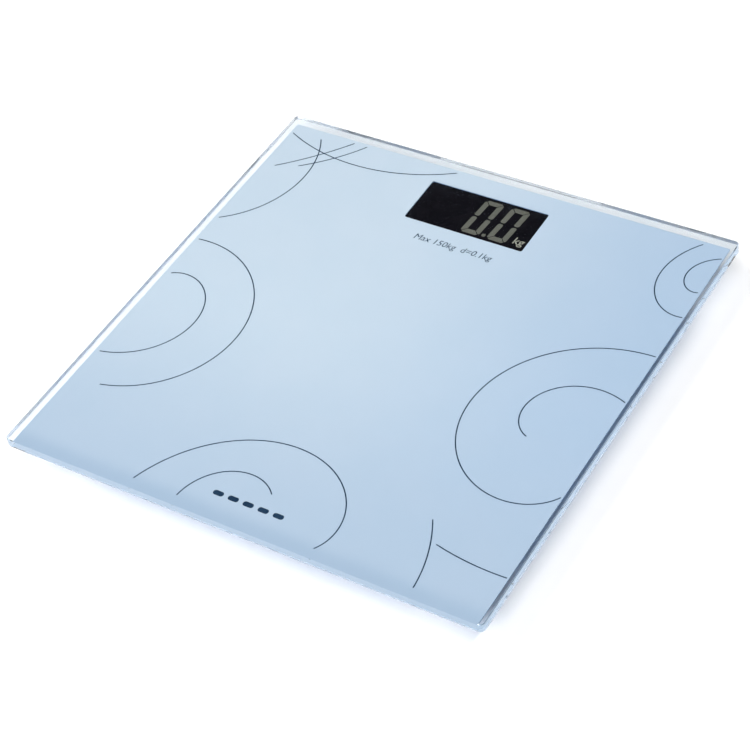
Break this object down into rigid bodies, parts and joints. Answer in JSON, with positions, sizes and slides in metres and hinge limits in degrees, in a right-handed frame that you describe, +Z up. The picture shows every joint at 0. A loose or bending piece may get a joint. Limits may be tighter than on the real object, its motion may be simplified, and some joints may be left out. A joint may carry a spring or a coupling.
{
  "type": "glass bathroom scale",
  "caption": "Square electronic bathroom scale: printed glass platform on load-cell feet, with a slim battery and display box glued under its display window.",
  "frame": {"origin": "on the floor plane, under the middle of the glass", "axes": "+Z up, +Y towards the display edge, +X to the reader's right"},
  "size_m": [0.3, 0.3, 0.0225],
  "materials": {
    "glass": "polished, ground edges",
    "print": "silver-blue pearl enamel with fine dark scrolls",
    "foam_tape": "closed-cell foam",
    "white_plastic": "fine moulded grain",
    "grey_plastic": "fine moulded grain",
    "foot_rubber": "matt",
    "steel": "stamped, nickel washed",
    "silicone": "cured sealing gel",
    "lead_sheath": "drawn sheath",
    "clear_tape": "thin film tape",
    "circuit_board": "green solder resist",
    "resin": "cured epoxy",
    "display": "dark polariser over glass",
    "white_acrylic": "milky",
    "contact_rubber": "striped elastomer",
    "black_plastic": "moulded",
    "button_plastic": "moulded",
    "battery_sleeve": "printed sleeve on a steel can",
    "nickel": "nickel plate",
    "red_wire": "drawn sheath",
    "black_wire": "drawn sheath"
  },
  "bodies": {
    "platform": {"glass_platform": "glass", "back_print": "print", "housing_adhesive": "foam_tape", "sensor_adhesive_front_left": "foam_tape", "sensor_adhesive_front_right": "foam_tape", "sensor_adhesive_back_left": "foam_tape", "sensor_adhesive_back_right": "foam_tape", "housing_tray": "white_plastic", "sensor_bracket_front_left": "white_plastic", "sensor_bracket_front_right": "white_plastic", "sensor_bracket_back_left": "white_plastic", "sensor_bracket_back_right": "white_plastic", "load_cell_front_left": "steel", "load_cell_front_right": "steel", "load_cell_back_left": "steel", "load_cell_back_right": "steel", "hinge_pin": "steel", "board_screw_1": "steel", "board_screw_2": "steel", "gauge_gel_front_left": "silicone", "gauge_gel_front_right": "silicone", "gauge_gel_back_left": "silicone", "gauge_gel_back_right": "silicone", "sensor_lead_front_left": "lead_sheath", "sensor_lead_front_right": "lead_sheath", "sensor_lead_back_left": "lead_sheath", "sensor_lead_back_right": "lead_sheath", "lead_tape_front_left": "clear_tape", "lead_tape_front_right": "clear_tape", "lead_tape_back_left": "clear_tape", "lead_tape_back_right": "clear_tape", "circuit_board": "circuit_board", "chip_blob": "resin", "lcd_panel": "display", "lcd_frame": "white_acrylic", "backlight": "white_acrylic", "contact_strip": "contact_rubber", "switch_body": "black_plastic", "battery_1": "battery_sleeve", "battery_2": "battery_sleeve", "contact_bridge": "nickel", "contact_positive": "nickel", "contact_negative": "nickel", "spring_1": "nickel", "spring_2": "nickel", "battery_lead_positive": "red_wire", "battery_lead_negative": "black_wire"},
    "battery_door": {"battery_door": "white_plastic"},
    "unit_button": {"unit_button": "button_plastic", "switch_plunger": "steel"},
    "foot_front_left": {"foot_cup_front_left": "grey_plastic", "foot_pad_front_left": "foot_rubber"},
    "foot_front_right": {"foot_cup_front_right": "grey_plastic", "foot_pad_front_right": "foot_rubber"},
    "foot_back_left": {"foot_cup_back_left": "grey_plastic", "foot_pad_back_left": "foot_rubber"},
    "foot_back_right": {"foot_cup_back_right": "grey_plastic", "foot_pad_back_right": "foot_rubber"}
  },
  "joints": [
    {"name": "foot_travel_front_left", "type": "slide", "parent": "platform", "child": "foot_front_left", "axis": [0, 0, 1], "range_m": [0, 0.0005], "stiffness_N_per_m": 5000, "springref_m": -0.001, "deforming": ["load_cell_front_left"]},
    {"name": "foot_travel_front_right", "type": "slide", "parent": "platform", "child": "foot_front_right", "axis": [0, 0, 1], "range_m": [0, 0.0005], "stiffness_N_per_m": 5000, "springref_m": -0.001, "deforming": ["load_cell_front_right"]},
    {"name": "foot_travel_back_left", "type": "slide", "parent": "platform", "child": "foot_back_left", "axis": [0, 0, 1], "range_m": [0, 0.0005], "stiffness_N_per_m": 5000, "springref_m": -0.001, "deforming": ["load_cell_back_left"]},
    {"name": "foot_travel_back_right", "type": "slide", "parent": "platform", "child": "foot_back_right", "axis": [0, 0, 1], "range_m": [0, 0.0005], "stiffness_N_per_m": 5000, "springref_m": -0.001, "deforming": ["load_cell_back_right"]},
    {"name": "battery_door_hinge", "type": "hinge", "parent": "platform", "child": "battery_door", "pos_m": [0, 0.0918, 0.0046], "axis": [1, 0, 0], "range_deg": [0, 95]},
    {"name": "unit_button_press", "type": "slide", "parent": "platform", "child": "unit_button", "axis": [0, 0, 1], "range_m": [0, 0.0004], "stiffness_N_per_m": 150, "springref_m": -0.001}
  ]
}
